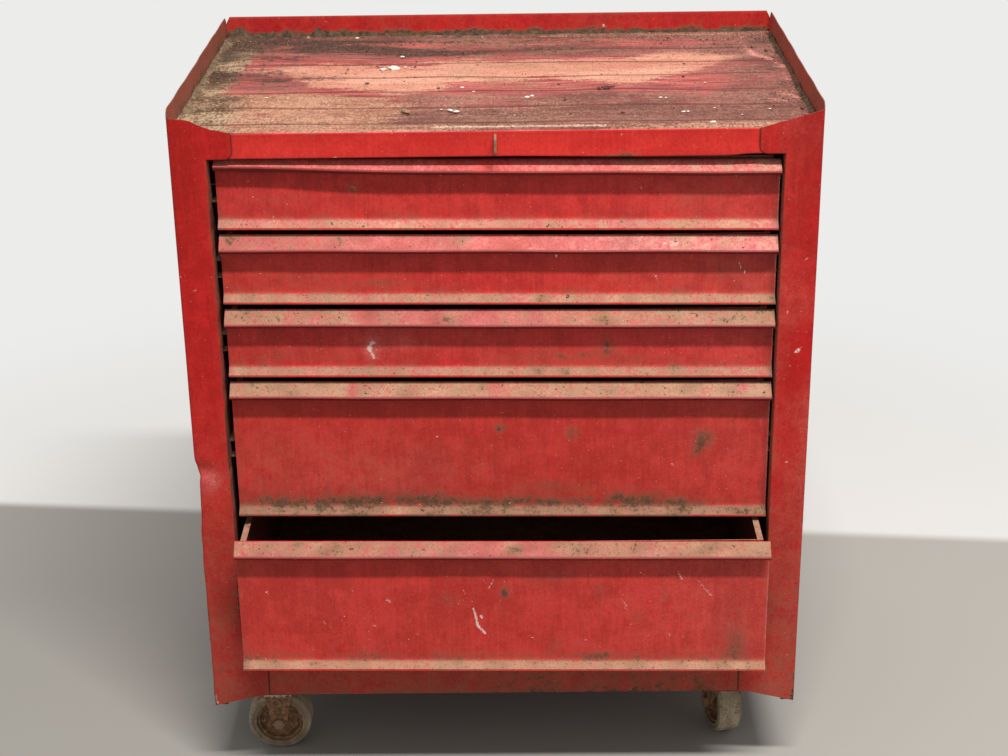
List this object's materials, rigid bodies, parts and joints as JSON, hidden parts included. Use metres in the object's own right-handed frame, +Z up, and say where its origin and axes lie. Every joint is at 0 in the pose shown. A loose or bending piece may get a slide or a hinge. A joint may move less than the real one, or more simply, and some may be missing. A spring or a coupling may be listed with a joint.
{
  "type": "roller tool cabinet",
  "caption": "Folded steel tool cabinet on casters, with shallow drawers over deep ones, sloped finger pulls and a recessed top tray.",
  "frame": {"origin": "on the floor, at the middle of the whole object's box seen from above", "axes": "+X to the right seen from the front, +Y to the back, +Z up; the drawers open towards -Y"},
  "size_m": [0.673, 0.4996, 0.805],
  "materials": {
    "red_enamel": "aged satin enamel",
    "slide_steel": "dull zinc plate",
    "caster_steel": "rusty zinc plate",
    "wheel_hub": "rusty pressed steel",
    "fastener_steel": "dull zinc plate",
    "tyre": "worn matte rubber"
  },
  "bodies": {
    "case": {"side_panel_left": "red_enamel", "side_panel_right": "red_enamel", "top_tray": "red_enamel", "back_panel": "red_enamel", "back_panel_screws": "fastener_steel", "bottom_rail": "red_enamel", "bottom_pan": "red_enamel", "upright_front_left": "red_enamel", "upright_front_right": "red_enamel", "upright_rear_left": "red_enamel", "upright_rear_right": "red_enamel", "padlock_eye": "fastener_steel", "caster_channel_left": "red_enamel", "caster_channel_right": "red_enamel", "caster_bolts": "fastener_steel", "drawer_1_channels": "slide_steel", "drawer_2_channels": "slide_steel", "drawer_3_channels": "slide_steel", "drawer_4_channels": "slide_steel", "drawer_5_channels": "slide_steel", "rigid_caster_front_bracket": "caster_steel", "rigid_caster_front_axle": "caster_steel", "swivel_caster_front_plate": "caster_steel", "swivel_caster_front_kingpin": "caster_steel", "rigid_caster_rear_bracket": "caster_steel", "rigid_caster_rear_axle": "caster_steel", "swivel_caster_rear_plate": "caster_steel", "swivel_caster_rear_kingpin": "caster_steel"},
    "drawer_1": {"drawer_1_box": "red_enamel", "drawer_1_front": "red_enamel", "drawer_1_runners": "slide_steel"},
    "drawer_2": {"drawer_2_box": "red_enamel", "drawer_2_front": "red_enamel", "drawer_2_runners": "slide_steel"},
    "drawer_3": {"drawer_3_box": "red_enamel", "drawer_3_front": "red_enamel", "drawer_3_runners": "slide_steel"},
    "drawer_4": {"drawer_4_box": "red_enamel", "drawer_4_front": "red_enamel", "drawer_4_runners": "slide_steel"},
    "drawer_5": {"drawer_5_box": "red_enamel", "drawer_5_front": "red_enamel", "drawer_5_runners": "slide_steel"},
    "rigid_wheel_front": {"rigid_caster_front_hub": "wheel_hub", "rigid_caster_front_tyre": "tyre"},
    "rigid_wheel_rear": {"rigid_caster_rear_hub": "wheel_hub", "rigid_caster_rear_tyre": "tyre"},
    "swivel_fork_front": {"swivel_caster_front_fork": "caster_steel", "swivel_caster_front_axle": "caster_steel", "swivel_caster_front_balls": "caster_steel"},
    "swivel_wheel_front": {"swivel_caster_front_hub": "wheel_hub", "swivel_caster_front_tyre": "tyre"},
    "swivel_fork_rear": {"swivel_caster_rear_fork": "caster_steel", "swivel_caster_rear_axle": "caster_steel", "swivel_caster_rear_balls": "caster_steel"},
    "swivel_wheel_rear": {"swivel_caster_rear_hub": "wheel_hub", "swivel_caster_rear_tyre": "tyre"}
  },
  "joints": [
    {"name": "drawer_1_slide", "type": "slide", "parent": "case", "child": "drawer_1", "axis": [0, -1, 0], "range_m": [0, 0.33]},
    {"name": "drawer_2_slide", "type": "slide", "parent": "case", "child": "drawer_2", "axis": [0, -1, 0], "range_m": [0, 0.33]},
    {"name": "drawer_3_slide", "type": "slide", "parent": "case", "child": "drawer_3", "axis": [0, -1, 0], "range_m": [0, 0.33]},
    {"name": "drawer_4_slide", "type": "slide", "parent": "case", "child": "drawer_4", "axis": [0, -1, 0], "range_m": [0, 0.33]},
    {"name": "drawer_5_slide", "type": "slide", "parent": "case", "child": "drawer_5", "axis": [0, -1, 0], "range_m": [-0.052, 0.278]},
    {"name": "rigid_wheel_front_spin", "type": "hinge", "parent": "case", "child": "rigid_wheel_front", "pos_m": [-0.27, -0.13075, 0.038], "axis": [0, 1, 0], "continuous": true},
    {"name": "rigid_wheel_rear_spin", "type": "hinge", "parent": "case", "child": "rigid_wheel_rear", "pos_m": [-0.27, 0.18025, 0.038], "axis": [0, 1, 0], "continuous": true},
    {"name": "swivel_fork_front_turn", "type": "hinge", "parent": "case", "child": "swivel_fork_front", "pos_m": [0.27, -0.13075, 0.097], "axis": [0, 0, 1], "continuous": true},
    {"name": "swivel_wheel_front_spin", "type": "hinge", "parent": "swivel_fork_front", "child": "swivel_wheel_front", "pos_m": [0.26299, -0.10364, 0.038], "axis": [0.9681, 0.2504, 0], "continuous": true},
    {"name": "swivel_fork_rear_turn", "type": "hinge", "parent": "case", "child": "swivel_fork_rear", "pos_m": [0.27, 0.18025, 0.097], "axis": [0, 0, 1], "continuous": true},
    {"name": "swivel_wheel_rear_spin", "type": "hinge", "parent": "swivel_fork_rear", "child": "swivel_wheel_rear", "pos_m": [0.28139, 0.20583, 0.038], "axis": [0.9135, -0.4067, 0], "continuous": true}
  ]
}
